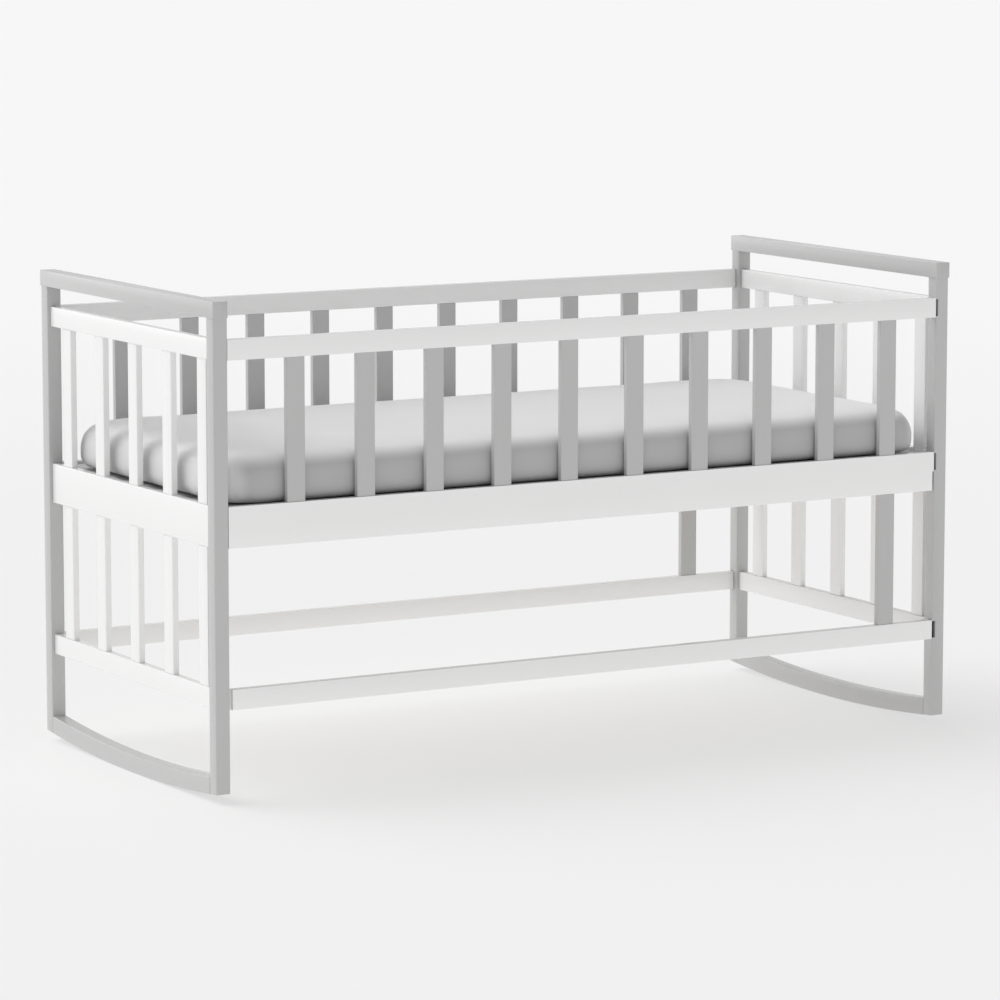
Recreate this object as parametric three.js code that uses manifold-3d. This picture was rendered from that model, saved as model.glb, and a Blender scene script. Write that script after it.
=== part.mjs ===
// A rocking crib: two grey end frames on curved rockers carry white rails and grey slats round a
// mattress on a deck. Millimetres, +X along the crib, the front at -Y, +Z up, and the origin on the
// floor under its centre.
import * as THREE from 'three';
import { mergeVertices } from 'three/addons/utils/BufferGeometryUtils.js';
import Module from 'manifold-3d';

const wasm = await Module();
wasm.setup();

// Overall sizes, over the outer faces of the posts
const LENGTH = 1240;
const WIDTH = 570;
const HEIGHT = 708.6;

// End frames: square posts under a cap rail that stands a little proud of them, over a rocker
const POST = 21.5;
const CAP_HEIGHT = 23.2;
const CAP_SIDE_LEDGE = 1;
const CAP_END_LEDGE = 2;
const ROCKER_RADIUS = 2808;
const ROCKER_HEIGHT = 26;
const ROCKER_STEPS = 25;

// Rails and slats
const RAIL_HEIGHT = 29.5;
const RAIL_THICKNESS = 12;
const END_RAIL_INSET = 5;
const SLAT_WIDTH = 28.5;
const SLAT_THICKNESS = 9.5;

// Levels: the space under the cap rails, and the upper edges of the bed rails and stretchers
const CAP_SPACE = 30;
const BED_LEVEL = 420.9;
const STRETCHER_LEVEL = 162.8;

// Rows of slats, as their number and the distance of the outermost ones from the posts
const SIDE_SLATS = 10;
const SIDE_ROW_LEFT = 107.7;
const SIDE_ROW_RIGHT = 85.8;
const END_SLATS = 5;
const END_ROW_FRONT = 28.8;
const END_ROW_REAR = 51.8;

// Joints in the wood: tongues in mortises, and the clearance between pieces
const FIT = 0.3;
const TONGUE_LENGTH = 8;
const TONGUE_THICKNESS = 6;
const LONG_TONGUE_LENGTH = 11;
const LONG_TONGUE_SETBACK = 5;
const ROCKER_TONGUE_HEIGHT = 14;
const STUB_SIZE = 11;
const STUB_LENGTH = 12;
const LAP_DEPTH = 4.5;

// Gaps between a rail's shoulder and its post, and the open slots in the right front post
const SNUG_GAP = 0.6;
const STRETCHER_LEFT_GAP = 5;
const LOWER_RAIL_RIGHT_GAP = 3.4;
const RAIL_SLOT = 3.5;
const STRETCHER_SLOT = 5.6;
const SLOT_EDGE = 2;

// Bed: a deck on two cleats, with battens under it, and the mattress
const DECK_RECESS = 5;
const DECK_THICKNESS = 9;
const CLEAT_WIDTH = 18;
const CLEAT_HEIGHT = 40;
const CLEAT_END_GAP = 18;
const BATTEN_WIDTH = 40;
const BATTEN_HEIGHT = 18;
const BATTEN_SPACING = 600;
const MATTRESS_LEFT_GAP = 3;
const MATTRESS_RIGHT_GAP = 15;
const MATTRESS_FRONT_GAP = 2;
const MATTRESS_REAR_GAP = 22;
const MATTRESS_WAIST = 31;
const MATTRESS_HEIGHT = 71.5;
const MATTRESS_CROWN = 3.5;
const MATTRESS_LEFT_CORNER = 58;
const MATTRESS_RIGHT_CORNER = 38;
const MATTRESS_DRAW_IN = 3;
const MATTRESS_FOOT = 16;
const MATTRESS_SHOULDER = 30;
const MATTRESS_FULLNESS = 2.6;

// Places that follow from the sizes
const POST_OUTER_X = LENGTH / 2;
const POST_INNER_X = POST_OUTER_X - POST;
const POST_CENTRE_X = POST_OUTER_X - POST / 2;
const POST_OUTER_Y = WIDTH / 2;
const POST_INNER_Y = POST_OUTER_Y - POST;
const POST_CENTRE_Y = POST_OUTER_Y - POST / 2;
const POST_TOP = HEIGHT - CAP_HEIGHT;
const TOP_RAIL_LEVEL = POST_TOP - CAP_SPACE;
const LONG_RAIL_Y = POST_OUTER_Y - RAIL_THICKNESS / 2;
const LONG_RAIL_INNER_Y = POST_OUTER_Y - RAIL_THICKNESS;
const LONG_TONGUE_Y = POST_OUTER_Y - LONG_TONGUE_SETBACK - TONGUE_THICKNESS / 2;
const END_RAIL_X = POST_OUTER_X - END_RAIL_INSET - RAIL_THICKNESS / 2;
const LOWER_RAIL_LEVEL = BED_LEVEL - RAIL_HEIGHT;
const BED_RAILS_BOTTOM = LOWER_RAIL_LEVEL - RAIL_HEIGHT;
const DECK_TOP = BED_LEVEL - DECK_RECESS;
const DECK_BOTTOM = DECK_TOP - DECK_THICKNESS;

const whitePaint = { color: 0xececea, roughness: 0.45, metalness: 0 };
const greyPaint = { color: 0xb4b4b3, roughness: 0.5, metalness: 0 };
const bareWood = { color: 0xd9c6a3, roughness: 0.7, metalness: 0 };
const sheet = { color: 0xdadada, roughness: 0.95, metalness: 0 };

const crib = new THREE.Group();

// Adds one named piece to the crib
function add(name, geometry, finish) {
  const mesh = new THREE.Mesh(geometry, new THREE.MeshStandardMaterial(finish));
  mesh.name = name;
  crib.add(mesh);
}

// A closed geometry as a solid that can be joined and cut
function toSolid(geometry) {
  const bare = geometry.clone();
  bare.deleteAttribute('normal');
  bare.deleteAttribute('uv');
  const merged = mergeVertices(bare, 1e-4);
  return new wasm.Manifold(new wasm.Mesh({
    numProp: 3,
    vertProperties: new Float32Array(merged.attributes.position.array),
    triVerts: new Uint32Array(merged.index.array),
  }));
}

// The solid back as a geometry with flat faces
function toGeometry(solid) {
  const { vertProperties, triVerts } = solid.getMesh();
  const indexed = new THREE.BufferGeometry();
  indexed.setAttribute('position', new THREE.BufferAttribute(new Float32Array(vertProperties), 3));
  indexed.setIndex(new THREE.BufferAttribute(new Uint32Array(triVerts), 1));
  const geometry = indexed.toNonIndexed();
  geometry.computeVertexNormals();
  return geometry;
}

// A box between two corners, given as ranges along X, Y and Z
function box([x0, x1], [y0, y1], [z0, z1]) {
  const geometry = new THREE.BoxGeometry(x1 - x0, y1 - y0, z1 - z0);
  geometry.translate((x0 + x1) / 2, (y0 + y1) / 2, (z0 + z1) / 2);
  return geometry;
}

// The range of a given size round a middle value
function around(middle, size) {
  return [middle - size / 2, middle + size / 2];
}

// A range grown by the clearance on both sides
function eased([low, high]) {
  return [low - FIT, high + FIT];
}

// A geometry with boxes joined to it and other boxes cut out of it
function worked(geometry, joined, cut) {
  let solid = toSolid(geometry);
  for (const piece of joined) {
    solid = solid.add(toSolid(piece));
  }
  for (const piece of cut) {
    solid = solid.subtract(toSolid(piece));
  }
  return toGeometry(solid);
}

// The outline of a bar with a thinner tongue at each end. The first coordinate runs along the bar
function tonguedOutline([start, end], [near, far], [thinNear, thinFar], [startTongue, endTongue]) {
  return [
    [start - startTongue, thinNear], [start, thinNear], [start, near],
    [end, near], [end, thinNear], [end + endTongue, thinNear],
    [end + endTongue, thinFar], [end, thinFar], [end, far],
    [start, far], [start, thinFar], [start - startTongue, thinFar],
  ];
}

// An outline as a shape
function toShape(points) {
  return new THREE.Shape(points.map(([x, y]) => new THREE.Vector2(x, y)));
}

// A plan outline carried up from one level to another
function upright(points, [bottom, top]) {
  const geometry = new THREE.ExtrudeGeometry(toShape(points), { depth: top - bottom, bevelEnabled: false });
  geometry.translate(0, 0, bottom);
  return geometry;
}

// An outline in the YZ plane carried along X
function alongX(points, [x0, x1]) {
  const geometry = new THREE.ExtrudeGeometry(toShape(points), { depth: x1 - x0, bevelEnabled: false });
  geometry.applyMatrix4(new THREE.Matrix4().set(0, 0, 1, x0, 1, 0, 0, 0, 0, 1, 0, 0, 0, 0, 0, 1));
  return geometry;
}

// An outline in the XZ plane carried along Y
function alongY(points, [y0, y1]) {
  const geometry = new THREE.ExtrudeGeometry(toShape(points), { depth: y1 - y0, bevelEnabled: false });
  geometry.applyMatrix4(new THREE.Matrix4().set(1, 0, 0, 0, 0, 0, -1, y1, 0, 1, 0, 0, 0, 0, 0, 1));
  return geometry;
}

// An outline's first and second coordinates changed over, for a bar that runs along the second axis
function turned(points) {
  return points.map(([a, b]) => [b, a]);
}

// Height of the rocker's underside over the floor, at a distance from its middle
function rockerRise(y) {
  return ROCKER_RADIUS - Math.sqrt(ROCKER_RADIUS ** 2 - y ** 2);
}

// Lower and upper edge of every rail of a long side
const longRailSpan = {
  top: [TOP_RAIL_LEVEL - RAIL_HEIGHT, TOP_RAIL_LEVEL],
  bed: [BED_LEVEL - RAIL_HEIGHT, BED_LEVEL],
  lower: [BED_RAILS_BOTTOM, LOWER_RAIL_LEVEL],
  stretcher: [STRETCHER_LEVEL - RAIL_HEIGHT, STRETCHER_LEVEL],
};

// Lower and upper edge of every rail of an end, the middle one as tall as the bed and lower rails
const endRailSpan = {
  top: longRailSpan.top,
  middle: [BED_RAILS_BOTTOM, BED_LEVEL],
  bottom: longRailSpan.stretcher,
};

// How far the shoulders of the long rails stand off the posts, and the slots beside the right ends
const snug = { left: SNUG_GAP, right: SNUG_GAP, slot: 0 };
const longRailEnds = {
  front: {
    top: { ...snug, slot: RAIL_SLOT },
    bed: { ...snug, slot: RAIL_SLOT },
    lower: { ...snug, right: LOWER_RAIL_RIGHT_GAP },
    stretcher: { left: STRETCHER_LEFT_GAP, right: SNUG_GAP, slot: STRETCHER_SLOT },
  },
  rear: { top: snug, bed: snug, lower: snug, stretcher: snug },
};

// Middles of the slats of a row that starts and ends at given distances from two posts
function slatRow(count, halfSpan, before, after) {
  const pitch = (2 * halfSpan - before - after) / (count - 1);
  return Array.from({ length: count }, (_, i) => before - halfSpan + i * pitch);
}

const sideRow = slatRow(SIDE_SLATS, POST_INNER_X, SIDE_ROW_LEFT, SIDE_ROW_RIGHT);
const endRow = slatRow(END_SLATS, POST_INNER_Y, END_ROW_FRONT, END_ROW_REAR);
const strutPlace = sideRow[SIDE_SLATS - 1];

// The length of tongue inside a post, longer where an open slot takes away some of its hold
function tongueReach(slot) {
  return slot > 0 ? LONG_TONGUE_LENGTH : TONGUE_LENGTH;
}

// The levels of the tongue at each end of a rocker
const rockerTongueSpan = around(rockerRise(POST_INNER_Y) + ROCKER_HEIGHT / 2, ROCKER_TONGUE_HEIGHT);

// A post with its stub into the cap rail, its mortises and, beside some rails, an open slot
function post(side, face) {
  const sx = side === 'left' ? -1 : 1;
  const sy = face === 'front' ? -1 : 1;
  const body = alongX([
    [sy * POST_OUTER_Y, rockerRise(POST_OUTER_Y)],
    [sy * POST_OUTER_Y, POST_TOP],
    [sy * POST_INNER_Y, POST_TOP],
    [sy * POST_INNER_Y, rockerRise(POST_INNER_Y)],
  ], around(sx * POST_CENTRE_X, POST));
  const stub = box(
    around(sx * POST_CENTRE_X, STUB_SIZE),
    around(sy * POST_CENTRE_Y, STUB_SIZE),
    [POST_TOP - STUB_LENGTH, POST_TOP + STUB_LENGTH],
  );

  // Mortises and slots for the long rails, cut from the face that looks along the crib
  const cuts = [];
  const fromInside = (depth) => around(sx * (POST_INNER_X + depth / 2), depth);
  for (const [rail, ends] of Object.entries(longRailEnds[face])) {
    const slot = side === 'right' ? ends.slot : 0;
    const [low, high] = longRailSpan[rail];
    const tongueFaces = eased(around(sy * LONG_TONGUE_Y, TONGUE_THICKNESS));
    cuts.push(box(fromInside(tongueReach(slot) + FIT), tongueFaces, eased([low, high])));
    if (slot > 0) {
      const railFaces = around(sy * LONG_RAIL_Y, RAIL_THICKNESS);
      cuts.push(box(fromInside(slot), railFaces, [low + SLOT_EDGE, high - SLOT_EDGE]));
    }
  }

  // Mortises for the end rails and the rocker, cut from the face that looks across it
  const depth = TONGUE_LENGTH + FIT;
  const acrossPost = around(sy * (POST_INNER_Y + depth / 2), depth);
  for (const span of Object.values(endRailSpan)) {
    cuts.push(box(eased(around(sx * END_RAIL_X, TONGUE_THICKNESS)), acrossPost, eased(span)));
  }
  cuts.push(box(
    eased(around(sx * POST_CENTRE_X, TONGUE_THICKNESS)),
    acrossPost,
    eased(rockerTongueSpan),
  ));
  return worked(body, [stub], cuts);
}

// The rail over the two posts of an end frame
function capRail(side) {
  const x = side === 'left' ? -POST_CENTRE_X : POST_CENTRE_X;
  const body = box(
    around(x, POST + 2 * CAP_SIDE_LEDGE),
    around(0, WIDTH + 2 * CAP_END_LEDGE),
    [POST_TOP, HEIGHT],
  );
  const sockets = [-POST_CENTRE_Y, POST_CENTRE_Y].map((y) => box(
    eased(around(x, STUB_SIZE)),
    eased(around(y, STUB_SIZE)),
    eased([POST_TOP, POST_TOP + STUB_LENGTH]),
  ));
  return worked(body, [], sockets);
}

// The curved rail that a frame rocks on. An odd number of steps leaves the middle one level
function rocker(side) {
  const x = side === 'left' ? -POST_CENTRE_X : POST_CENTRE_X;
  const reach = POST_INNER_Y - FIT;
  const steps = Array.from({ length: ROCKER_STEPS + 1 }, (_, i) => reach * ((2 * i) / ROCKER_STEPS - 1));
  const levelStepRise = rockerRise(reach / ROCKER_STEPS);
  const under = steps.map((y) => [y, rockerRise(y) - levelStepRise]);
  const over = steps.map((y) => [y, rockerRise(y) + ROCKER_HEIGHT]);
  const body = alongX([...under, ...over.reverse()], around(x, POST));
  const tongues = [-1, 1].map((sy) => box(
    around(x, TONGUE_THICKNESS),
    around(sy * reach, 2 * TONGUE_LENGTH),
    rockerTongueSpan,
  ));
  return worked(body, tongues, []);
}

// A rail of a long side, with mortises for the slats that stand on it or come down to it
function longRail(face, rail, standing, hanging) {
  const sy = face === 'front' ? -1 : 1;
  const { left, right, slot } = longRailEnds[face][rail];
  const outline = tonguedOutline(
    [-POST_INNER_X + left, POST_INNER_X - right],
    around(sy * LONG_RAIL_Y, RAIL_THICKNESS),
    around(sy * LONG_TONGUE_Y, TONGUE_THICKNESS),
    [left + TONGUE_LENGTH, right + tongueReach(slot)],
  );
  const [bottom, top] = longRailSpan[rail];
  const mortise = (x, levels) => box(
    eased(around(x, SLAT_WIDTH)),
    eased(around(sy * LONG_RAIL_Y, TONGUE_THICKNESS)),
    levels,
  );
  const cuts = [
    ...standing.map((x) => mortise(x, [top - TONGUE_LENGTH, top + FIT])),
    ...hanging.map((x) => mortise(x, [bottom - FIT, bottom + TONGUE_LENGTH])),
  ];
  return worked(upright(outline, [bottom, top]), [], cuts);
}

// An upright slat of a long side, with a tongue into the rail under it and the rail over it
function sideSlat(face, x, [bottom, top]) {
  const y = face === 'front' ? -LONG_RAIL_Y : LONG_RAIL_Y;
  const outline = tonguedOutline(
    [bottom + FIT, top - FIT],
    around(y, SLAT_THICKNESS),
    around(y, TONGUE_THICKNESS),
    [TONGUE_LENGTH, TONGUE_LENGTH],
  );
  return alongX(turned(outline), around(x, SLAT_WIDTH));
}

// An end rail, with mortises for its slats or, in the middle one, grooves where they cross it
function endRail(side, rail) {
  const x = side === 'left' ? -END_RAIL_X : END_RAIL_X;
  const reach = POST_INNER_Y - FIT;
  const outline = tonguedOutline(
    [-reach, reach],
    around(x, RAIL_THICKNESS),
    around(x, TONGUE_THICKNESS),
    [TONGUE_LENGTH, TONGUE_LENGTH],
  );
  const [bottom, top] = endRailSpan[rail];
  const cutSpans = {
    top: [bottom - FIT, bottom + TONGUE_LENGTH],
    middle: [bottom - FIT, top + FIT],
    bottom: [top - TONGUE_LENGTH, top + FIT],
  };
  const faces = rail === 'middle' ? grooveFaces(side) : eased(around(x, TONGUE_THICKNESS));
  const cuts = endRow.map((y) => box(faces, eased(around(y, SLAT_WIDTH)), cutSpans[rail]));
  return worked(upright(turned(outline), [bottom, top]), [], cuts);
}

// The X range of the grooves on the inner side of a middle end rail, open to the bed
function grooveFaces(side) {
  const open = END_RAIL_X - RAIL_THICKNESS / 2 - FIT;
  const floor = END_RAIL_X + SLAT_THICKNESS / 2 - LAP_DEPTH + FIT;
  return side === 'left' ? [-floor, -open] : [open, floor];
}

// A tall end slat, thinned on its outer side where it lies in the middle rail's groove
function endSlat(side, y) {
  const sx = side === 'left' ? -1 : 1;
  const outline = tonguedOutline(
    [endRailSpan.bottom[1] + FIT, endRailSpan.top[0] - FIT],
    around(sx * END_RAIL_X, SLAT_THICKNESS),
    around(sx * END_RAIL_X, TONGUE_THICKNESS),
    [TONGUE_LENGTH, TONGUE_LENGTH],
  );
  const outerFace = END_RAIL_X + SLAT_THICKNESS / 2;
  const lap = box(
    around(sx * (outerFace + (FIT - LAP_DEPTH) / 2), LAP_DEPTH + FIT),
    eased(around(y, SLAT_WIDTH)),
    eased(endRailSpan.middle),
  );
  return worked(alongY(turned(outline), around(y, SLAT_WIDTH)), [], [lap]);
}

// The plan outline of the mattress at its widest: round corners, and sides drawn in between them
function mattressOutline(length, width) {
  const cornerSteps = 8;
  const sideSteps = 6;
  const points = [];
  const quarters = [[1, 1], [-1, 1], [-1, -1], [1, -1]];
  const cornerPoint = (quarter, angle) => {
    const [cx, cy] = quarters[quarter % quarters.length];
    const radius = cx < 0 ? MATTRESS_LEFT_CORNER : MATTRESS_RIGHT_CORNER;
    return [
      cx * (length / 2 - radius) + radius * Math.cos(angle),
      cy * (width / 2 - radius) + radius * Math.sin(angle),
    ];
  };
  for (let quarter = 0; quarter < quarters.length; quarter += 1) {
    const startAngle = quarter * (Math.PI / 2);
    const endAngle = startAngle + Math.PI / 2;
    for (let i = 0; i <= cornerSteps; i += 1) {
      points.push(cornerPoint(quarter, startAngle + (i / cornerSteps) * (Math.PI / 2)));
    }
    const [ax, ay] = cornerPoint(quarter, endAngle);
    const [bx, by] = cornerPoint(quarter + 1, endAngle);
    for (let i = 1; i < sideSteps; i += 1) {
      const t = i / sideSteps;
      const drawn = MATTRESS_DRAW_IN * Math.sin(Math.PI * t);
      points.push([
        ax + (bx - ax) * t - drawn * Math.cos(endAngle),
        ay + (by - ay) * t - drawn * Math.sin(endAngle),
      ]);
    }
  }
  return points;
}

// How far each ring of the mattress lies inside its widest outline, and its height over the deck. The
// shoulder is squarer than an ellipse
function mattressRings(width) {
  const edgeSteps = 5;
  const crownSteps = 4;
  const rings = [];
  for (let i = 0; i <= edgeSteps; i += 1) {
    const angle = (i / edgeSteps) * (Math.PI / 2);
    rings.push([MATTRESS_FOOT * (1 - Math.sin(angle)), MATTRESS_WAIST * (1 - Math.cos(angle))]);
  }
  for (let i = 1; i <= edgeSteps; i += 1) {
    const angle = (i / edgeSteps) * (Math.PI / 2);
    rings.push([
      MATTRESS_SHOULDER * (1 - Math.max(0, Math.cos(angle)) ** (2 / MATTRESS_FULLNESS)),
      MATTRESS_WAIST + (MATTRESS_HEIGHT - MATTRESS_WAIST) * Math.sin(angle) ** (2 / MATTRESS_FULLNESS),
    ]);
  }
  const crownReach = 0.9 * (width / 2) - MATTRESS_SHOULDER;
  for (let i = 1; i <= crownSteps; i += 1) {
    const t = i / crownSteps;
    rings.push([
      MATTRESS_SHOULDER + crownReach * t,
      MATTRESS_HEIGHT + MATTRESS_CROWN * Math.sin((Math.PI / 2) * t),
    ]);
  }
  return rings;
}

// The mattress as a closed skin of rings, from its flat underside to its crowned top
function mattress() {
  const length = 2 * POST_INNER_X - MATTRESS_LEFT_GAP - MATTRESS_RIGHT_GAP;
  const width = 2 * LONG_RAIL_INNER_Y - MATTRESS_FRONT_GAP - MATTRESS_REAR_GAP;
  const middleX = (MATTRESS_LEFT_GAP - MATTRESS_RIGHT_GAP) / 2;
  const middleY = (MATTRESS_FRONT_GAP - MATTRESS_REAR_GAP) / 2;
  const floor = DECK_TOP + FIT;
  const outline = mattressOutline(length, width);
  const rings = mattressRings(width);
  const positions = rings.flatMap(([inset, rise]) => outline.flatMap(([x, y]) => [
    middleX + x * (1 - (2 * inset) / length),
    middleY + y * (1 - (2 * inset) / width),
    floor + rise,
  ]));
  const [, topRise] = rings[rings.length - 1];
  positions.push(middleX, middleY, floor, middleX, middleY, floor + topRise);

  const count = outline.length;
  const topRing = (rings.length - 1) * count;
  const underMiddle = rings.length * count;
  const index = [];
  for (let i = 0; i < count; i += 1) {
    const next = (i + 1) % count;
    for (let start = 0; start < topRing; start += count) {
      index.push(start + i, start + next, start + count + next);
      index.push(start + i, start + count + next, start + count + i);
    }
    index.push(underMiddle, next, i);
    index.push(underMiddle + 1, topRing + i, topRing + next);
  }
  const geometry = new THREE.BufferGeometry();
  geometry.setAttribute('position', new THREE.Float32BufferAttribute(positions, 3));
  geometry.setIndex(index);
  geometry.computeVertexNormals();
  return geometry;
}

// End frames
for (const side of ['left', 'right']) {
  add(`${side}_front_post`, post(side, 'front'), greyPaint);
  add(`${side}_rear_post`, post(side, 'rear'), greyPaint);
  add(`${side}_cap_rail`, capRail(side), greyPaint);
  add(`${side}_rocker`, rocker(side), greyPaint);
}

// Long sides: a slatted panel over a lower rail and a stretcher, with one strut between these
for (const face of ['front', 'rear']) {
  add(`${face}_top_rail`, longRail(face, 'top', [], sideRow), whitePaint);
  add(`${face}_bed_rail`, longRail(face, 'bed', sideRow, []), whitePaint);
  add(`${face}_lower_rail`, longRail(face, 'lower', [], [strutPlace]), whitePaint);
  add(`${face}_stretcher`, longRail(face, 'stretcher', [strutPlace], []), whitePaint);
  const panelSpan = [longRailSpan.bed[1], longRailSpan.top[0]];
  sideRow.forEach((x, i) => {
    add(`${face}_slat_${i + 1}`, sideSlat(face, x, panelSpan), greyPaint);
  });
  const strutSpan = [longRailSpan.stretcher[1], longRailSpan.lower[0]];
  add(`${face}_strut`, sideSlat(face, strutPlace, strutSpan), greyPaint);
}

// Ends: three rails each, crossed by tall slats
for (const side of ['left', 'right']) {
  for (const rail of Object.keys(endRailSpan)) {
    add(`${side}_end_${rail}_rail`, endRail(side, rail), whitePaint);
  }
  endRow.forEach((y, i) => {
    add(`${side}_end_slat_${i + 1}`, endSlat(side, y), whitePaint);
  });
}

// Bed: the deck between the bed rails, the cleats that carry it, battens under it, the mattress
const deckReachX = POST_INNER_X - FIT;
const deckReachY = LONG_RAIL_INNER_Y - FIT;
const underDeck = DECK_BOTTOM - FIT;
add('deck', box([-deckReachX, deckReachX], [-deckReachY, deckReachY], [DECK_BOTTOM, DECK_TOP]), greyPaint);
for (const [face, sy] of [['front', -1], ['rear', 1]]) {
  const reach = deckReachX - CLEAT_END_GAP;
  const across = around(sy * (deckReachY - CLEAT_WIDTH / 2), CLEAT_WIDTH);
  add(`${face}_cleat`, box([-reach, reach], across, [underDeck - CLEAT_HEIGHT, underDeck]), bareWood);
}
for (const [i, sx] of [-1, 1].entries()) {
  const reach = deckReachY - CLEAT_WIDTH - FIT;
  const along = around((sx * BATTEN_SPACING) / 2, BATTEN_WIDTH);
  const levels = [underDeck - BATTEN_HEIGHT, underDeck];
  add(`deck_batten_${i + 1}`, box(along, [-reach, reach], levels), bareWood);
}
add('mattress', mattress(), sheet);

export default crib;
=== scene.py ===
"""The looks of a rocking crib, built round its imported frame.

The painted bars get eased edges and a brushed paint finish, the bed base gets its screws, and the mattress is
a padded piece shaped by a cloth simulation. Metres, in the crib's own frame: +X along the crib, -Y its front.
"""

import logging
import math
from dataclasses import dataclass
from dataclasses import field
from enum import Enum

import bmesh
import bpy
from mathutils import Matrix
from mathutils import Vector


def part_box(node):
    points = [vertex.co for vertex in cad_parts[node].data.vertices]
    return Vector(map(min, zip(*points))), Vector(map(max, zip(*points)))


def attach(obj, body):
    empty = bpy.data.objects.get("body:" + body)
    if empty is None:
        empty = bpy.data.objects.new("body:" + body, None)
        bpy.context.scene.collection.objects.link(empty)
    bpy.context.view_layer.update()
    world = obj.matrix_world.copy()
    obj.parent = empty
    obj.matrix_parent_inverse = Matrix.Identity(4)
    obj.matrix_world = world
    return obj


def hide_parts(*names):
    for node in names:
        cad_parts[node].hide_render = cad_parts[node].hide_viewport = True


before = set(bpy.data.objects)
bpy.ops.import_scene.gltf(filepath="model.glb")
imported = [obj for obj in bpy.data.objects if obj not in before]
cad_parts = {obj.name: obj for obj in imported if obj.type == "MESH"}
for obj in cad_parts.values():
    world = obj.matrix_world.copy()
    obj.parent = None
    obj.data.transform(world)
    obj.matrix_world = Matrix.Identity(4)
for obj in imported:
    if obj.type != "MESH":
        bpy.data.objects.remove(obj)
log = logging.getLogger("crib")

FRAME_BODY = "frame"
MATTRESS_BODY = "mattress"
MERGE_DISTANCE = 0.00002
ON_FACE = 10 * MERGE_DISTANCE
FLAT_ANGLE = math.radians(0.2)
SMOOTH_ANGLE = math.radians(25)
SHARP_ANGLE = math.radians(40)
MIDDLE = 0.5

Colour = tuple[float, float, float]
Place = tuple[float, float, float]


class Side(Enum):
    """The two ends of the crib."""

    LEFT = "left"
    RIGHT = "right"


class Face(Enum):
    """The two long sides of the crib."""

    FRONT = "front"
    REAR = "rear"


class Run(Enum):
    """The axis that a bar, its grain and its brush marks run along."""

    LENGTHWISE = 0
    ACROSS = 1
    UPRIGHT = 2


class Signal:
    """A socket's value, which adds the shader nodes of an expression that it is used in."""

    def __init__(self, tree: bpy.types.NodeTree, socket: bpy.types.NodeSocket) -> None:
        """Wraps a socket.

        Args:
            tree: The node tree that the socket is in.
            socket: The output socket that gives the value.
        """
        self.tree = tree
        self.socket = socket

    def _math(self, operation: str, first: "Signal | float", second: "Signal | float") -> "Signal":
        """Adds one Math node.

        Args:
            operation: The Math node's operation.
            first: Its first value.
            second: Its second value.

        Returns:
            The result.
        """
        node = self.tree.nodes.new("ShaderNodeMath")
        node.operation = operation
        for socket, value in zip(node.inputs, (first, second)):
            if isinstance(value, Signal):
                self.tree.links.new(value.socket, socket)
            else:
                socket.default_value = value
        return Signal(self.tree, node.outputs[0])

    def __add__(self, other: "Signal | float") -> "Signal":
        """Adds two values."""
        return self._math("ADD", self, other)

    def __radd__(self, other: float) -> "Signal":
        """Adds the value to a number."""
        return self._math("ADD", other, self)

    def __sub__(self, other: "Signal | float") -> "Signal":
        """Takes a value away."""
        return self._math("SUBTRACT", self, other)

    def __rsub__(self, other: float) -> "Signal":
        """Takes the value away from a number."""
        return self._math("SUBTRACT", other, self)

    def __mul__(self, other: "Signal | float") -> "Signal":
        """Multiplies two values."""
        return self._math("MULTIPLY", self, other)

    def __pow__(self, other: float) -> "Signal":
        """Raises the value to a power."""
        return self._math("POWER", self, other)

    def sine(self) -> "Signal":
        """The sine of the value."""
        return self._math("SINE", self, 0.0)


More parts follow.
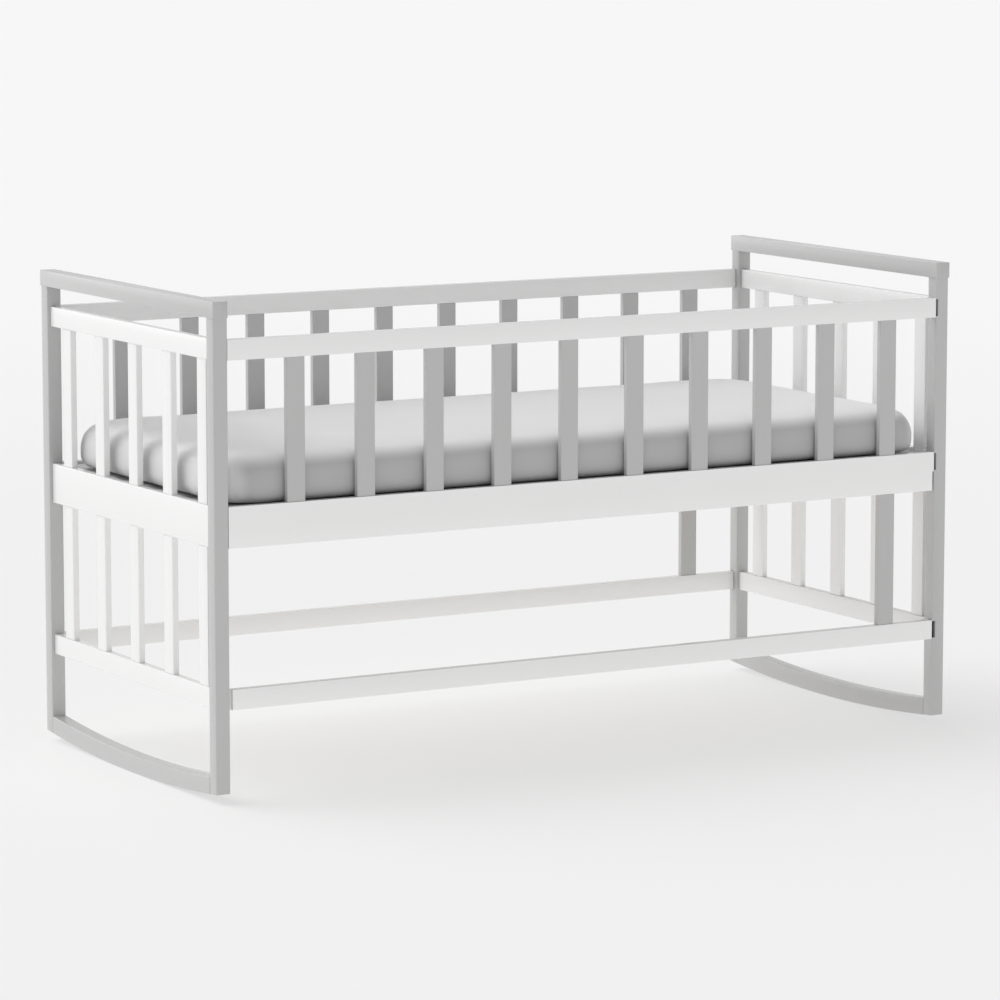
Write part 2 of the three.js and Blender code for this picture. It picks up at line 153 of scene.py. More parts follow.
class ShaderTree:
    """The shader nodes of a material or of the world."""

    def __init__(self, owner: bpy.types.Material | bpy.types.World) -> None:
        """Starts with no nodes.

        Args:
            owner: The material or the world that the nodes belong to.
        """
        self.owner = owner
        self.owner.use_nodes = True
        self.tree = self.owner.node_tree
        self.tree.nodes.clear()

    def node(
        self,
        kind: str,
        settings: dict[str, object] | None = None,
        inputs: dict[str, object] | None = None,
        output: str | None = None,
    ) -> Signal | None:
        """Adds one node.

        Args:
            kind: The node's type.
            settings: Its settings.
            inputs: The value or the signal of each socket, by the socket's identifier or name.
            output: The identifier or name of the output, or None for the first.

        Returns:
            The node's output, or None if it has no outputs.
        """
        node = self.tree.nodes.new(kind)
        for name, value in (settings or {}).items():
            setattr(node, name, value)
        for name, value in (inputs or {}).items():
            socket = self._find(node.inputs, name)
            if isinstance(value, Signal):
                self.tree.links.new(value.socket, socket)
            else:
                socket.default_value = value
        if not node.outputs:
            return None
        return Signal(self.tree, self._find(node.outputs, output) if output else node.outputs[0])

    @staticmethod
    def _find(sockets: bpy.types.bpy_prop_collection, name: str) -> bpy.types.NodeSocket:
        """The socket with that identifier, or else with that name."""
        for socket in sockets:
            if socket.identifier == name:
                return socket
        return sockets[name]

    def place(self, scale: Place = (1.0, 1.0, 1.0)) -> Signal:
        """The place on the piece in metres, stretched by a factor along each axis."""
        at = self.node("ShaderNodeTexCoord", output="Object")
        return self.node("ShaderNodeMapping", inputs={"Vector": at, "Scale": scale})

    def noise(self, vector: Signal, scale: float, detail: float = 3.0, roughness: float = 0.5) -> Signal:
        """Noise from 0 to 1.

        Args:
            vector: Where the noise is read.
            scale: How many features there are to a metre.
            detail: How many finer octaves it has.
            roughness: How strong these are.

        Returns:
            The noise's value.
        """
        values = {"Vector": vector, "Scale": scale, "Detail": detail, "Roughness": roughness}
        return self.node("ShaderNodeTexNoise", inputs=values, output="Fac")

    def mixed(self, factor: Signal, low: Signal | Colour, high: Signal | Colour) -> Signal:
        """A colour between two others.

        Args:
            factor: 0 for the first colour and 1 for the second.
            low: The first colour.
            high: The second colour.

        Returns:
            The mixed colour.
        """
        ends = {"Factor_Float": factor}
        for name, value in (("A_Color", low), ("B_Color", high)):
            ends[name] = value if isinstance(value, Signal) else (*value, 1.0)
        return self.node("ShaderNodeMix", {"data_type": "RGBA"}, ends, "Result_Color")

    def bump(self, height: Signal, depth: float) -> Signal:
        """A normal from a height.

        Args:
            height: The height from 0 to 1.
            depth: How deep a height of 1 is, in metres.

        Returns:
            The normal.
        """
        return self.node("ShaderNodeBump", inputs={"Height": height, "Distance": depth, "Strength": 1.0})

    def smooth_step(self, value: Signal, start: float, end: float, most: float = 1.0) -> Signal:
        """A smooth rise from 0 to a highest value.

        Args:
            value: What the rise follows.
            start: Where the rise starts.
            end: Where it ends.
            most: The highest value.

        Returns:
            The risen value.
        """
        limits = {"Value": value, "From Min": start, "From Max": end, "To Max": most}
        return self.node("ShaderNodeMapRange", {"interpolation_type": "SMOOTHSTEP"}, limits)

    def seen(self) -> Signal:
        """1 where the camera sees the surface, straight or in a gloss or a glass, and else 0."""
        kinds = ("Is Camera Ray", "Is Glossy Ray", "Is Transmission Ray")
        camera, gloss, glass = (self.node("ShaderNodeLightPath", output=kind) for kind in kinds)
        return camera + gloss + glass

    def end(self, shader: Signal, kind: str = "ShaderNodeOutputMaterial") -> None:
        """Ends the tree with a shader.

        Args:
            shader: The shader.
            kind: The type of the output node.
        """
        self.node(kind, inputs={"Surface": shader})


class FinishTree(ShaderTree):
    """A new material and the nodes that make it."""

    def __init__(self, name: str) -> None:
        """Starts a material with no nodes.

        Args:
            name: The material's name.
        """
        super().__init__(bpy.data.materials.new(name))

    def surface(self, values: dict[str, object]) -> bpy.types.Material:
        """Ends the material with a Principled shader.

        Args:
            values: The value or signal of each of the shader's sockets.

        Returns:
            The finished material.
        """
        self.end(self.node("ShaderNodeBsdfPrincipled", inputs=values))
        return self.owner


def shaded(colour: Colour, factor: float) -> Colour:
    """A colour made lighter or darker by a factor."""
    return tuple(min(1.0, part * factor) for part in colour)


def weighed(values: tuple[Signal, ...], shares: tuple[float, ...]) -> Signal:
    """Adds up values, each times its share.

    Args:
        values: The values.
        shares: The share of each.

    Returns:
        The sum.
    """
    total = values[0] * shares[0]
    for value, share in zip(values[1:], shares[1:]):
        total = total + value * share
    return total


def stretched(run: Run, factor: float) -> Place:
    """A scale that draws a pattern out along one axis."""
    scale = [1.0, 1.0, 1.0]
    scale[run.value] = factor
    return tuple(scale)


@dataclass(frozen=True)
class BrushedPaint:
    """Satin paint on planed wood, with the grain and the brush marks just showing through."""

    name: str
    colour: Colour
    roughness: float = 0.4
    coat: float = 1.0
    coat_roughness: float = 0.15
    mottle: float = 0.02
    grain_depth: float = 0.00008
    grain_stretch: float = 0.03
    grain_scale: float = 420.0
    grain_contrast: float = 0.6
    brush_scale: float = 1500.0
    cloud_scale: float = 7.0
    peel_scale: float = 900.0
    tone_shares: tuple[float, float] = (0.6, 0.4)
    height_shares: tuple[float, float, float] = (0.55, 0.25, 0.2)
    roughness_by_grain: float = 0.12
    roughness_by_cloud: float = 0.08

    def material(self, run: Run) -> bpy.types.Material:
        """Makes the paint for bars that run one way.

        Args:
            run: The axis that the bars run along.

        Returns:
            The material.
        """
        tree = FinishTree(f"{self.name}_{run.name.lower()}")
        fibres = tree.place(stretched(run, self.grain_stretch))
        grain = tree.noise(fibres, self.grain_scale, 4.0, self.grain_contrast)
        brush = tree.noise(fibres, self.brush_scale, 2.0)
        level = tree.place()
        cloud = tree.noise(level, self.cloud_scale, 3.0)
        peel = tree.noise(level, self.peel_scale, 2.0)
        tone = weighed((cloud, grain), self.tone_shares)
        colour = tree.mixed(tone, shaded(self.colour, 1 - self.mottle), shaded(self.colour, 1 + self.mottle))
        height = weighed((grain, brush, peel), self.height_shares)
        by_grain = (grain - MIDDLE) * self.roughness_by_grain
        by_cloud = (cloud - MIDDLE) * self.roughness_by_cloud
        return tree.surface({
            "Base Color": colour,
            "Roughness": self.roughness + by_grain + by_cloud,
            "Coat Weight": self.coat,
            "Coat Roughness": self.coat_roughness,
            "Normal": tree.bump(height, self.grain_depth),
        })


@dataclass(frozen=True)
class BarePine:
    """Planed pine with growth rings, for the pieces under the deck."""

    name: str
    light: Colour = (0.66, 0.50, 0.31)
    dark: Colour = (0.47, 0.31, 0.16)
    stretch: float = 0.06
    warp_scale: float = 14.0
    warp_turns: float = 5.0
    ring_scale: float = 26.0
    ring_turns: float = 46.0
    ring_power: float = 1.6
    pore_scale: float = 1300.0
    tone_shares: tuple[float, float] = (0.7, 0.3)
    height_shares: tuple[float, float] = (0.4, 0.6)
    roughness: float = 0.62
    roughness_by_pores: float = 0.15
    grain_depth: float = 0.0001

    def material(self, run: Run) -> bpy.types.Material:
        """Makes the wood for pieces that run one way.

        Args:
            run: The axis that the pieces run along.

        Returns:
            The material.
        """
        tree = FinishTree(f"{self.name}_{run.name.lower()}")
        fibres = tree.place(stretched(run, self.stretch))
        warp = tree.noise(fibres, self.warp_scale, 2.0)
        turns = tree.noise(fibres, self.ring_scale, 1.0) * self.ring_turns + warp * self.warp_turns
        rings = (turns.sine() + 1.0) * 0.5
        pores = tree.noise(fibres, self.pore_scale, 2.0)
        tone = weighed((rings ** self.ring_power, pores), self.tone_shares)
        height = weighed((rings, pores), self.height_shares)
        return tree.surface({
            "Base Color": tree.mixed(tone, self.light, self.dark),
            "Roughness": self.roughness + pores * self.roughness_by_pores,
            "Normal": tree.bump(height, self.grain_depth),
        })


@dataclass(frozen=True)
class WovenCotton:
    """The mattress's plain woven cover, with painted shade greying its sides under the top's edge, less at
    the two ends.
    """

    name: str
    colour: Colour
    side_shade: Colour
    turn: tuple[float, float] = (0.024, 0.004)
    ends: tuple[float, float] = (0.552, 0.578)
    end_share: float = 0.75
    thread: float = 0.0007
    slub_stretch: float = 0.12
    slub_scale: float = 900.0
    cloud_scale: float = 9.0
    tone_shares: tuple[float, float, float] = (0.5, 0.25, 0.25)
    height_shares: tuple[float, float, float] = (0.3, 0.2, 0.2)
    weave_depth: float = 0.00018
    mottle: float = 0.025
    roughness: float = 0.88
    roughness_by_slub: float = 0.1
    sheen: float = 0.12

    def material(self, top: float) -> bpy.types.Material:
        """Makes the cloth, with threads that cross on every side of the mattress.

        Args:
            top: The height of the mattress's top, under which the painted side shade takes the place of the
                cover's colour.

        Returns:
            The material.
        """
        tree = FinishTree(self.name)
        at = tree.place()
        along, across, up = (
            tree.node("ShaderNodeSeparateXYZ", inputs={"Vector": at}, output=axis) for axis in "XYZ"
        )
        waves = [(part * (math.pi / self.thread)).sine() for part in (along, across, up)]
        crossing = waves[0] * waves[1] + waves[1] * waves[2] + waves[2] * waves[0]
        slub = tree.noise(tree.place(stretched(Run.LENGTHWISE, self.slub_stretch)), self.slub_scale, 2.0)
        cross_slub = tree.noise(tree.place(stretched(Run.ACROSS, self.slub_stretch)), self.slub_scale, 2.0)
        cloud = tree.noise(at, self.cloud_scale, 4.0)
        height = weighed((crossing + 1.0, slub, cross_slub), self.height_shares)
        tone = weighed((cloud, slub, cross_slub), self.tone_shares)
        # Painted shade: below the top's edge the sides get the darker colour, and the two ends keep mostly
        # the cover's colour.
        over = tree.smooth_step(up, top - self.turn[0], top - self.turn[1])
        at_end = tree.smooth_step(along * along, self.ends[0] ** 2, self.ends[1] ** 2, self.end_share)
        shade_and_cover = [
            tree.mixed(tone, shaded(cloth, 1 - self.mottle), shaded(cloth, 1 + self.mottle))
            for cloth in (self.side_shade, self.colour)
        ]
        return tree.surface({
            "Base Color": tree.mixed(over + at_end * (1.0 - over), *shade_and_cover),
            "Roughness": self.roughness + (slub - MIDDLE) * self.roughness_by_slub,
            "Sheen Weight": self.sheen,
            "Normal": tree.bump(height, self.weave_depth),
        })


@dataclass(frozen=True)
class ZincSteel:
    """Bright zinc plate on small screws."""

    name: str
    colour: Colour = (0.62, 0.62, 0.6)
    shades: tuple[float, float] = (0.88, 1.08)
    bloom_scale: float = 700.0
    bloom_depth: float = 0.00003
    roughness: float = 0.3
    roughness_by_bloom: float = 0.15

    def material(self) -> bpy.types.Material:
        """Makes the metal, with the faint bloom of zinc plate."""
        tree = FinishTree(self.name)
        bloom = tree.noise(tree.place(), self.bloom_scale, 4.0)
        return tree.surface({
            "Base Color": tree.mixed(bloom, *(shaded(self.colour, shade) for shade in self.shades)),
            "Metallic": 1.0,
            "Roughness": self.roughness + bloom * self.roughness_by_bloom,
            "Normal": tree.bump(bloom, self.bloom_depth),
        })


WHITE_PAINT = BrushedPaint("white_paint", (0.82, 0.82, 0.816))
GREY_PAINT = BrushedPaint("grey_paint", (0.455, 0.455, 0.453))
# Painted shade: near-black paint on the rails' tongues, standing in for the deep shadow in the right posts'
# open slots.
SLOT_SHADE = BrushedPaint("painted_slot_shade", (0.012, 0.012, 0.012), roughness=0.8, coat=0.0)
DECK_PAINT = BrushedPaint("deck_paint", (0.55, 0.55, 0.547), roughness=0.6, coat=0.0)
PINE = BarePine("bare_wood")
# The second colour is painted shade for the mattress's sides, not a cloth of its own.
COVER = WovenCotton("mattress_cover", (0.785, 0.785, 0.785), (0.455, 0.455, 0.455))
ZINC = ZincSteel("zinc_screws")


@dataclass
class Paintbox:
    """The materials of the bars, each made once."""

    made: dict[tuple[str, Run], bpy.types.Material] = field(default_factory=dict)

    def get(self, finish: BrushedPaint | BarePine, run: Run) -> bpy.types.Material:
        """A finish for bars that run one way.

        Args:
            finish: The finish.
            run: The axis that the bars run along.

        Returns:
            The material.
        """
        key = (finish.name, run)
        if key not in self.made:
            self.made[key] = finish.material(run)
        return self.made[key]


PAINTBOX = Paintbox()


def new_piece(name: str, shape: bmesh.types.BMesh, material: bpy.types.Material) -> bpy.types.Object:
    """Makes an object from a shape, at the origin, and frees the shape.

    Args:
        name: The object's name.
        shape: Its mesh.
        material: Its only material.

    Returns:
        The object.
    """
    mesh = bpy.data.meshes.new(name)
    shape.to_mesh(mesh)
    shape.free()
    mesh.materials.append(material)
    piece = bpy.data.objects.new(name, mesh)
    bpy.context.scene.collection.objects.link(piece)
    return piece


def soften(shape: bmesh.types.BMesh) -> None:
    """Shades a shape smooth, but for its sharp edges."""
    for face in shape.faces:
        face.smooth = True
    for edge in shape.edges:
        edge.smooth = edge.calc_face_angle(0.0) < SMOOTH_ANGLE


def round_off(shape: bmesh.types.BMesh, edges: list[bmesh.types.BMEdge], radius: float, steps: int) -> None:
    """Rounds some edges of a shape.

    Args:
        shape: The shape.
        edges: Its edges.
        radius: The radius.
        steps: The number of faces round each edge.
    """
    bmesh.ops.bevel(
        shape, geom=edges, offset=radius, offset_type="OFFSET",
        segments=steps, profile=0.5, affect="EDGES", clamp_overlap=True, material=-1,
    )


@dataclass
class Bar:
    """One bar of the crib, a copy of its CAD node with eased edges."""

    node: str
    finish: BrushedPaint | BarePine
    run: Run
    slot: str
    ease: float = 0.001
    meets: float | None = None
    segments: int = 3

    def outer_edges(self, shape: bmesh.types.BMesh) -> list[bmesh.types.BMEdge]:
        """The edges along the bar's outside, which have the whole bar behind both their faces.

        Args:
            shape: The bar.

        Returns:
            The edges.
        """
        outer = set()
        for face in shape.faces:
            reach = max(face.normal.dot(vert.co) for vert in shape.verts)
            if face.normal.dot(face.verts[0].co) > reach - ON_FACE:
                outer.add(face)
        return [
            edge for edge in shape.edges
            if all(face in outer for face in edge.link_faces) and edge.calc_face_angle(0.0) > SHARP_ANGLE
            and (self.meets is None or any(abs(vert.co.z - self.meets) > self.ease for vert in edge.verts))
        ]

    def build(self) -> bpy.types.Object:
        """Copies the node, eases its edges and puts the copy in its place.

        Returns:
            The bar.
        """
        shape = bmesh.new()
        shape.from_mesh(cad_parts[self.node].data)
        bmesh.ops.remove_doubles(shape, verts=shape.verts, dist=MERGE_DISTANCE)
        bmesh.ops.dissolve_limit(shape, angle_limit=FLAT_ANGLE, verts=shape.verts, edges=shape.edges)
        round_off(shape, self.outer_edges(shape), self.ease, self.segments)
        soften(shape)
        bar = new_piece(f"{self.node}_painted", shape, PAINTBOX.get(self.finish, self.run))
        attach(bar, FRAME_BODY)
        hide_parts(self.node)
        return bar


@dataclass
class SlottedRail(Bar):
    """A long rail whose tongue shows in the open slot of the right post, painted near-black as painted shade
    for the slot's depth.
    """

    end_facing: float = 0.5

    def build(self) -> bpy.types.Object:
        """Builds the rail and paints its right tongue near-black, as painted shade in the slot.

        Returns:
            The rail.
        """
        bar = super().build()
        # The tongue's faces inside the slot get the near-black painted shade.
        bar.data.materials.append(PAINTBOX.get(SLOT_SHADE, self.run))
        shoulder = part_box("right_front_post")[0][0]
        for face in bar.data.polygons:
            if face.center.x > shoulder - 2 * self.ease and abs(face.normal.x) < self.end_facing:
                start = min(bar.data.vertices[index].co.x for index in face.vertices)
                face.material_index = int(start > shoulder - self.ease)
        return bar


@dataclass
class Rocker(Bar):
    """A curved rocker, whose long edges are eased on both sides."""

    side_facing: float = 0.9

    def outer_edges(self, shape: bmesh.types.BMesh) -> list[bmesh.types.BMEdge]:
        """The edges along the two flat sides of the rocker.

        Args:
            shape: The rocker.

        Returns:
            The edges.
        """
        low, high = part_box(self.node)
        sides = [
            face for face in shape.faces
            if abs(face.normal.x) > self.side_facing
            and all(min(abs(vert.co.x - low[0]), abs(vert.co.x - high[0])) < ON_FACE for vert in face.verts)
        ]
        return [
            edge for side in sides for edge in side.edges
            if edge.calc_face_angle(0.0) > SHARP_ANGLE and edge.calc_length() > self.ease
            and abs(edge.verts[0].co.y - edge.verts[1].co.y) > self.ease
        ]


@dataclass
class EndFrame:
    """Two posts with the cap rail over them and the rocker between their feet."""

    side: Side
    post_ease: float = 0.0012

    def build(self) -> None:
        """Builds the four bars of the frame."""
        name = self.side.value
        for face in Face:
            Bar(f"{name}_{face.value}_post", GREY_PAINT, Run.UPRIGHT, "grey_paint", self.post_ease).build()
        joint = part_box(f"{name}_cap_rail")[0][2]
        Bar(f"{name}_cap_rail", GREY_PAINT, Run.ACROSS, "grey_paint", self.post_ease, joint).build()
        Rocker(f"{name}_rocker", GREY_PAINT, Run.ACROSS, "grey_paint", self.post_ease).build()
        log.info("%s end frame", name)


@dataclass
class LongSide:
    """A slatted panel with the lower rail, stretcher and strut under it."""

    face: Face
    slotted: tuple[str, ...] = ("front_top_rail", "front_bed_rail", "front_stretcher")

    def build(self) -> None:
        """Builds the rails, slats and strut of the side."""
        name = self.face.value
        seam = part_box(f"{name}_bed_rail")[0][2]
        for rail in ("top_rail", "bed_rail", "lower_rail", "stretcher"):
            node = f"{name}_{rail}"
            kind = SlottedRail if node in self.slotted else Bar
            kind(node, WHITE_PAINT, Run.LENGTHWISE, "white_paint", meets=seam).build()
        uprights = [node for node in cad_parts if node.startswith((f"{name}_slat_", f"{name}_strut"))]
        for node in uprights:
            Bar(node, GREY_PAINT, Run.UPRIGHT, "grey_paint").build()
        log.info("%s side with %d uprights", name, len(uprights))


@dataclass
class EndPanel:
    """Three rails crossed by tall slats."""

    side: Side

    def build(self) -> None:
        """Builds the rails and slats of the end."""
        name = self.side.value
        for rail in ("top", "middle", "bottom"):
            Bar(f"{name}_end_{rail}_rail", WHITE_PAINT, Run.ACROSS, "white_paint").build()
        slats = [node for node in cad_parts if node.startswith(f"{name}_end_slat_")]
        for node in slats:
            Bar(node, WHITE_PAINT, Run.UPRIGHT, "white_paint").build()
        log.info("%s end with %d slats", name, len(slats))


@dataclass
class Screws:
    """The countersunk slotted screws of one piece of the bed base.

    Taper, rim and ring are shares of the radius, rim step and recess depth are shares of the head's height.
    """

    node: str
    places: list[Place]
    facing: Vector
    radius: float = 0.0038
    head: float = 0.0006
    segments: int = 24
    taper: float = 0.86
    rim: float = 0.18
    rim_step: float = 0.3
    ring: float = 0.22
    recess: Place = (0.72, 0.34, 1)
    recess_depth: float = 0.9
    spin: float = 0.7

    def head_shape(self) -> bmesh.types.BMesh:
        """One head round the origin, facing up, with a slot sunk into it.

        Returns:
            The shape.
        """
        shape = bmesh.new()
        bmesh.ops.create_cone(
            shape, cap_ends=True, segments=self.segments,
            radius1=self.radius, radius2=self.radius * self.taper, depth=self.head,
        )
        bmesh.ops.translate(shape, verts=shape.verts, vec=(0, 0, self.head / 2))
        top = max(shape.faces, key=lambda face: face.calc_center_median().z)
        for inset, step in ((self.rim, self.rim_step), (self.ring, 0)):
            bmesh.ops.inset_region(shape, faces=[top], thickness=self.radius * inset, depth=self.head * step)
        sunk = bmesh.ops.extrude_discrete_faces(shape, faces=[top])["faces"]
        bmesh.ops.scale(shape, vec=self.recess, verts=sunk[0].verts)
        bmesh.ops.translate(shape, verts=sunk[0].verts, vec=(0, 0, -self.head * self.recess_depth))
        return shape

    def build(self) -> bpy.types.Object:
        """Builds all the heads as one piece.

        Returns:
            The screws.
        """
        turn = Vector((0, 0, 1)).rotation_difference(self.facing).to_matrix().to_4x4()
        one = self.head_shape()
        head = bpy.data.meshes.new("head")
        one.to_mesh(head)
        one.free()
        shape = bmesh.new()
        for index, place in enumerate(self.places):
            before = set(shape.verts)
            shape.from_mesh(head)
            added = [vert for vert in shape.verts if vert not in before]
            spin = Matrix.Rotation(index * self.spin, 4, "Z")
            bmesh.ops.transform(shape, matrix=Matrix.Translation(place) @ turn @ spin, verts=added)
        bpy.data.meshes.remove(head)
        soften(shape)
        screws = new_piece(f"{self.node}_screws", shape, ZINC.material())
        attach(screws, FRAME_BODY)
        return screws


@dataclass
class BedBase:
    """The deck with its cleats, battens and screws."""

    screws_on_cleat: int = 7
    screws_on_batten: int = 4
    end_margin: float = 0.06
    rows: tuple[float, float] = (0.25, 0.75)
    deck_ease: float = 0.0008

    def build(self) -> None:
        """Builds the pieces of the base and their screws."""
        Bar("deck", DECK_PAINT, Run.LENGTHWISE, "deck_paint", self.deck_ease).build()
        for face in Face:
            node = f"{face.value}_cleat"
            Bar(node, PINE, Run.LENGTHWISE, "bare_wood").build()
            self.screw_cleat(node, face)
        for index in (1, 2):
            node = f"deck_batten_{index}"
            Bar(node, PINE, Run.ACROSS, "bare_wood").build()
            self.screw_batten(node)
        log.info("bed base")

    @staticmethod
    def spread(low: float, high: float, count: int, margin: float) -> list[float]:
        """Places spread evenly between two margins.

        Args:
            low: The lower end.
            high: The upper end.
            count: How many places.
            margin: How far the first and last are from the ends.

        Returns:
            The places.
        """
        step = (high - low - 2 * margin) / (count - 1)
        return [low + margin + index * step for index in range(count)]

    def screw_cleat(self, node: str, face: Face) -> None:
        """Puts two rows of screws in a cleat, one into each rail behind it.

        Args:
            node: The cleat.
            face: The long side that it is on.
        """
        low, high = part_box(node)
        inner = high[1] if face is Face.FRONT else low[1]
        facing = Vector((0, 1 if face is Face.FRONT else -1, 0))
        places = []
        for row in self.rows:
            level = low[2] + (high[2] - low[2]) * row
            along = self.spread(low[0], high[0], self.screws_on_cleat, self.end_margin)
            places += [(x, inner, level) for x in along]
        Screws(node, places, facing).build()

    def screw_batten(self, node: str) -> None:
        """Puts a row of screws up through a batten into the deck."""
        low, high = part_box(node)
        middle = (low[0] + high[0]) / 2
        row = self.spread(low[1], high[1], self.screws_on_batten, self.end_margin)
        Screws(node, [(middle, y, low[2]) for y in row], Vector((0, 0, -1))).build()


@dataclass
class Mattress:
    """A foam mattress in a woven cover, swelled by a cloth simulation."""

    shrink: float = 0.004
    left_corner: float = 0.056
    right_corner: float = 0.036
    top_edge: float = 0.023
    bottom_edge: float = 0.015
    corner_steps: int = 8
    edge_steps: int = 6
    crown: float = 0.003
    crown_power: int = 4
    draw_in: float = 0.010
    droop: float = 0.0015
    corner_reach: float = 0.09
    voxel: float = 0.008
    pressure: float = 4.0
    frames: int = 20
    swell: float = 0.004

    def blank(self) -> bmesh.types.BMesh:
        """The mattress before it swells: a block with round corners and round edges.

        Returns:
            The shape.
        """
        low, high = (Vector(corner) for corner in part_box("mattress"))
        size = high - low - Vector((2, 2, 2)) * self.shrink
        shape = bmesh.new()
        bmesh.ops.create_cube(shape, size=1.0)
        bmesh.ops.scale(shape, vec=size, verts=shape.verts)
        bmesh.ops.translate(shape, vec=(low + high) / 2, verts=shape.verts)
        for end, radius in ((low.x, self.left_corner), (high.x, self.right_corner)):
            upright = [
                edge for edge in shape.edges
                if abs(edge.verts[0].co.z - edge.verts[1].co.z) > self.shrink
                and abs(edge.verts[0].co.x - end) < 2 * self.shrink
            ]
            round_off(shape, upright, radius, self.corner_steps)
        for level, radius in ((low.z, self.bottom_edge), (high.z, self.top_edge)):
            loop = [
                edge for edge in shape.edges
                if all(abs(vert.co.z - level) < 2 * self.shrink for vert in edge.verts)
            ]
            round_off(shape, loop, radius, self.edge_steps)
        return shape

    def settle(self, piece: bpy.types.Object) -> None:
        """Fits the pad to the bed's space, then crowns its top and draws its upper corners in and down.

        Args:
            piece: The pad.
        """
        low, high = (Vector(corner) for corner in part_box("mattress"))
        verts = piece.data.vertices
        least = Vector([min(vert.co[axis] for vert in verts) for axis in range(3)])
        most = Vector([max(vert.co[axis] for vert in verts) for axis in range(3)])
        middle = (low + high) / 2
        half = (high - low) / 2
        top = high.z - self.crown
        for vert in verts:
            share = Vector([(vert.co[axis] - least[axis]) / (most[axis] - least[axis]) for axis in range(3)])
            x = low.x + share.x * (high.x - low.x)
            y = low.y + share.y * (high.y - low.y)
            off_x, off_y = abs(x - middle.x) / half.x, abs(y - middle.y) / half.y
            crown = self.crown * (1 - off_x ** self.crown_power) * (1 - off_y ** self.crown_power)
            corner = math.hypot(half.x - abs(x - middle.x), half.y - abs(y - middle.y))
            nearness = max(0.0, 1 - corner / self.corner_reach)
            height = (top - low.z) + crown - self.droop * nearness
            inward = self.draw_in * nearness * max(0.0, 2 * share.z - 1)
            x -= math.copysign(inward, x - middle.x)
            y -= math.copysign(inward, y - middle.y)
            vert.co = (x, y, low.z + share.z * height)
        piece.data.update()

    def build(self) -> bpy.types.Object:
        """Builds, swells and dresses the mattress.

        Returns:
            The mattress.
        """
        cover = COVER.material(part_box("mattress")[1][2])
        mattress = new_piece("mattress_pad", self.blank(), cover)
        self.apply(mattress, "REMESH", {"mode": "VOXEL", "voxel_size": self.voxel, "use_smooth_shade": True})
        self.inflate(mattress)
        self.settle(mattress)
        self.apply(mattress, "SUBSURF", {"levels": 1, "render_levels": 1})
        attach(mattress, MATTRESS_BODY)
        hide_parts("mattress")
        log.info("mattress with %d faces", len(mattress.data.polygons))
        return mattress

    @staticmethod
    def apply(piece: bpy.types.Object, kind: str, settings: dict[str, object]) -> None:
        """Adds one modifier to a piece and applies it.

        Args:
            piece: The piece.
            kind: The modifier's type.
            settings: Its settings.
        """
        modifier = piece.modifiers.new(kind.lower(), kind)
        for name, value in settings.items():
            setattr(modifier, name, value)
        bpy.context.view_layer.objects.active = piece
        bpy.ops.object.modifier_apply(modifier=modifier.name)

    def inflate(self, piece: bpy.types.Object) -> None:
        """Swells the pad with a cloth simulation, within a cap and over the deck.

        Args:
            piece: The pad.
        """
        start = [vert.co.copy() for vert in piece.data.vertices]
        cloth = piece.modifiers.new("swelling", "CLOTH")
        cloth.settings.use_pressure = True
        cloth.settings.uniform_pressure_force = self.pressure
        cloth.settings.effector_weights.gravity = 0
        scene = bpy.context.scene
        for number in range(1, self.frames + 1):
            scene.frame_set(number)
        swelled = piece.evaluated_get(bpy.context.evaluated_depsgraph_get()).to_mesh()
        places = [vert.co.copy() for vert in swelled.vertices]
        piece.modifiers.remove(cloth)
        scene.frame_set(1)
        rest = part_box("mattress")[0][2]
        for vert, old, new in zip(piece.data.vertices, start, places):
            move = new - old
            if move.length > self.swell:
                move.length = self.swell
            vert.co = old + move
            vert.co.z = max(vert.co.z, rest)
        piece.data.update()


@dataclass(frozen=True)
class SoftLight:
    """One wide, far light."""

    name: str
    comes_from: Place
    strength: float
    width: float

    def build(self) -> None:
        """Adds the light."""
        data = bpy.data.lights.new(self.name, "SUN")
        data.energy = self.strength
        data.angle = math.radians(self.width)
        light = bpy.data.objects.new(self.name, data)
        light.rotation_mode = "QUATERNION"
        light.rotation_quaternion = Vector(self.comes_from).to_track_quat("Z", "Y")
        bpy.context.scene.collection.objects.link(light)


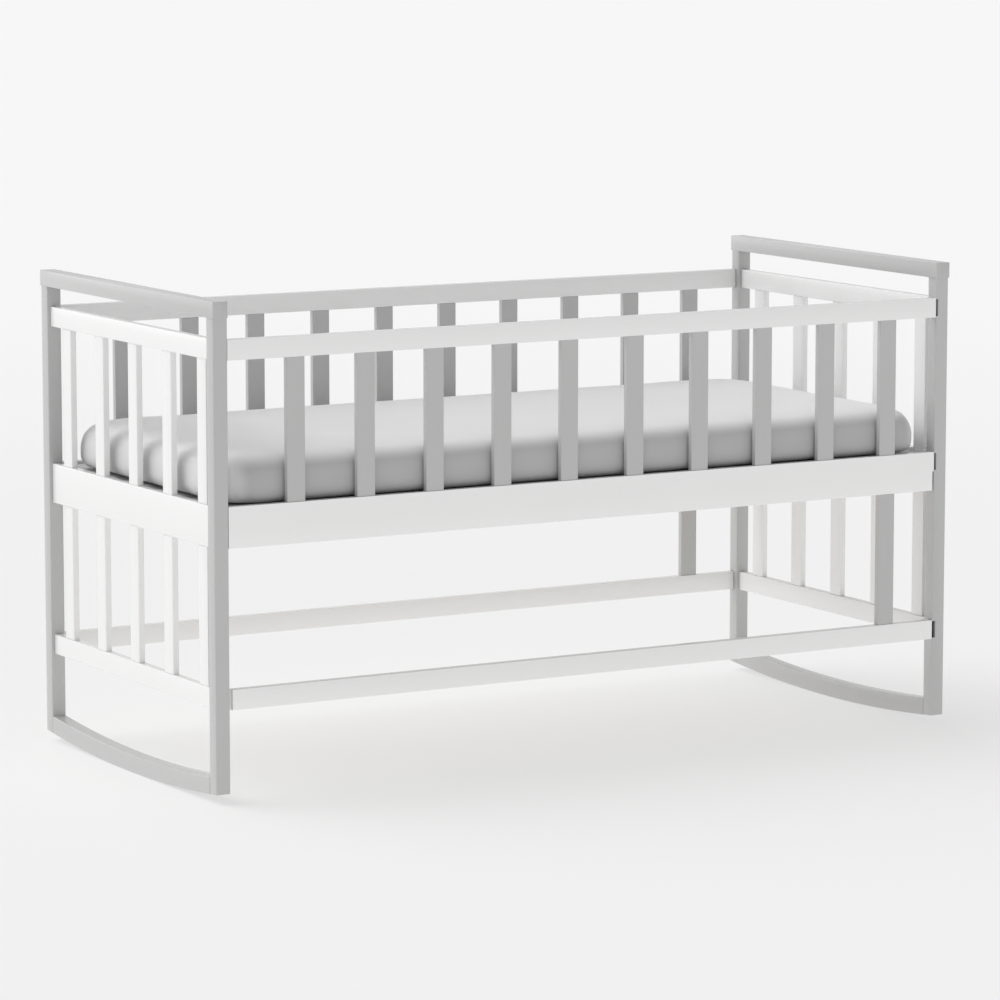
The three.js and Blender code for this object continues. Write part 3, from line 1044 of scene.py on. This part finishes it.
@dataclass
class Studio:
    """The camera at the photographed angle, the pale floor and the soft light."""

    camera_place: Place = (-3.51545, -6.09989, 1.3425)
    camera_pitch: float = -0.1394
    camera_yaw: float = -0.5231
    focal_length: float = 169.75
    sensor: float = 36.0
    sky: float = 0.55
    backdrop: float = 0.92
    lights: tuple[SoftLight, ...] = (
        SoftLight("high_window", (-0.60, 0.30, 0.75), 0.70, 50.0),
        SoftLight("rear_window", (-0.30, 0.55, 0.80), 1.08, 60.0),
        SoftLight("rear_panel", (-0.50, 0.86, 0.12), 0.34, 40.0),
        SoftLight("front_panel", (-0.05, -1.0, 0.12), 0.41, 60.0),
    )
    floor_colour: float = 0.39
    floor_light: float = 0.80
    floor_tone: tuple[float, float] = (0.52, 0.57)
    tone_reach: tuple[float, float] = (1.5, 7.5)
    floor_size: float = 60.0

    def build(self) -> None:
        """Builds the whole studio."""
        self.add_camera()
        self.add_sky()
        for light in self.lights:
            light.build()
        self.add_floor()
        bpy.context.scene.view_settings.view_transform = "Standard"
        log.info("studio")

    def add_camera(self) -> None:
        """Adds the camera."""
        data = bpy.data.cameras.new("camera")
        data.lens = self.focal_length
        data.sensor_width = self.sensor
        camera = bpy.data.objects.new("camera", data)
        camera.location = self.camera_place
        camera.rotation_euler = (math.pi / 2 + self.camera_pitch, 0.0, self.camera_yaw)
        bpy.context.scene.collection.objects.link(camera)
        bpy.context.scene.camera = camera

    def add_sky(self) -> None:
        """Adds the even light from all round, with the backdrop's tone where it is seen."""
        world = bpy.data.worlds.new("studio")
        tree = ShaderTree(world)
        light = tree.node("ShaderNodeBackground", inputs={"Strength": self.sky})
        tone = tree.node("ShaderNodeBackground", inputs={"Strength": self.backdrop})
        choice = {"Fac": tree.seen(), "Shader": light, "Shader_001": tone}
        tree.end(tree.node("ShaderNodeMixShader", inputs=choice), "ShaderNodeOutputWorld")
        bpy.context.scene.world = world

    def add_floor(self) -> None:
        """Adds the floor, which keeps a soft shadow and lights the crib from below."""
        shape = bmesh.new()
        bmesh.ops.create_grid(shape, x_segments=1, y_segments=1, size=self.floor_size)
        tree = FinishTree("floor")
        lit = tree.node("ShaderNodeBsdfDiffuse", inputs={"Color": (self.floor_colour,) * 3 + (1.0,)})
        reach = tree.node("ShaderNodeVectorMath", {"operation": "LENGTH"}, {"Vector": tree.place()}, "Value")
        far = tree.smooth_step(reach, *self.tone_reach)
        near_tone, far_tone = ((tone,) * 3 for tone in self.floor_tone)
        light = tree.node("ShaderNodeEmission", inputs={"Strength": self.floor_light})
        tone = tree.node("ShaderNodeEmission", inputs={"Color": tree.mixed(far, near_tone, far_tone)})
        choice = {"Fac": tree.seen(), "Shader": light, "Shader_001": tone}
        glow = tree.node("ShaderNodeMixShader", inputs=choice)
        tree.end(tree.node("ShaderNodeAddShader", inputs={"Shader": lit, "Shader_001": glow}))
        floor = new_piece("floor", shape, tree.owner)


def main() -> None:
    """Dresses the crib and sets up its studio."""
    logging.basicConfig(level=logging.INFO, format="%(name)s: %(message)s")
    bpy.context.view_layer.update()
    Studio().build()
    for side in Side:
        EndFrame(side).build()
        EndPanel(side).build()
    for face in Face:
        LongSide(face).build()
    BedBase().build()
    Mattress().build()


if __name__ == "__main__":
    main()
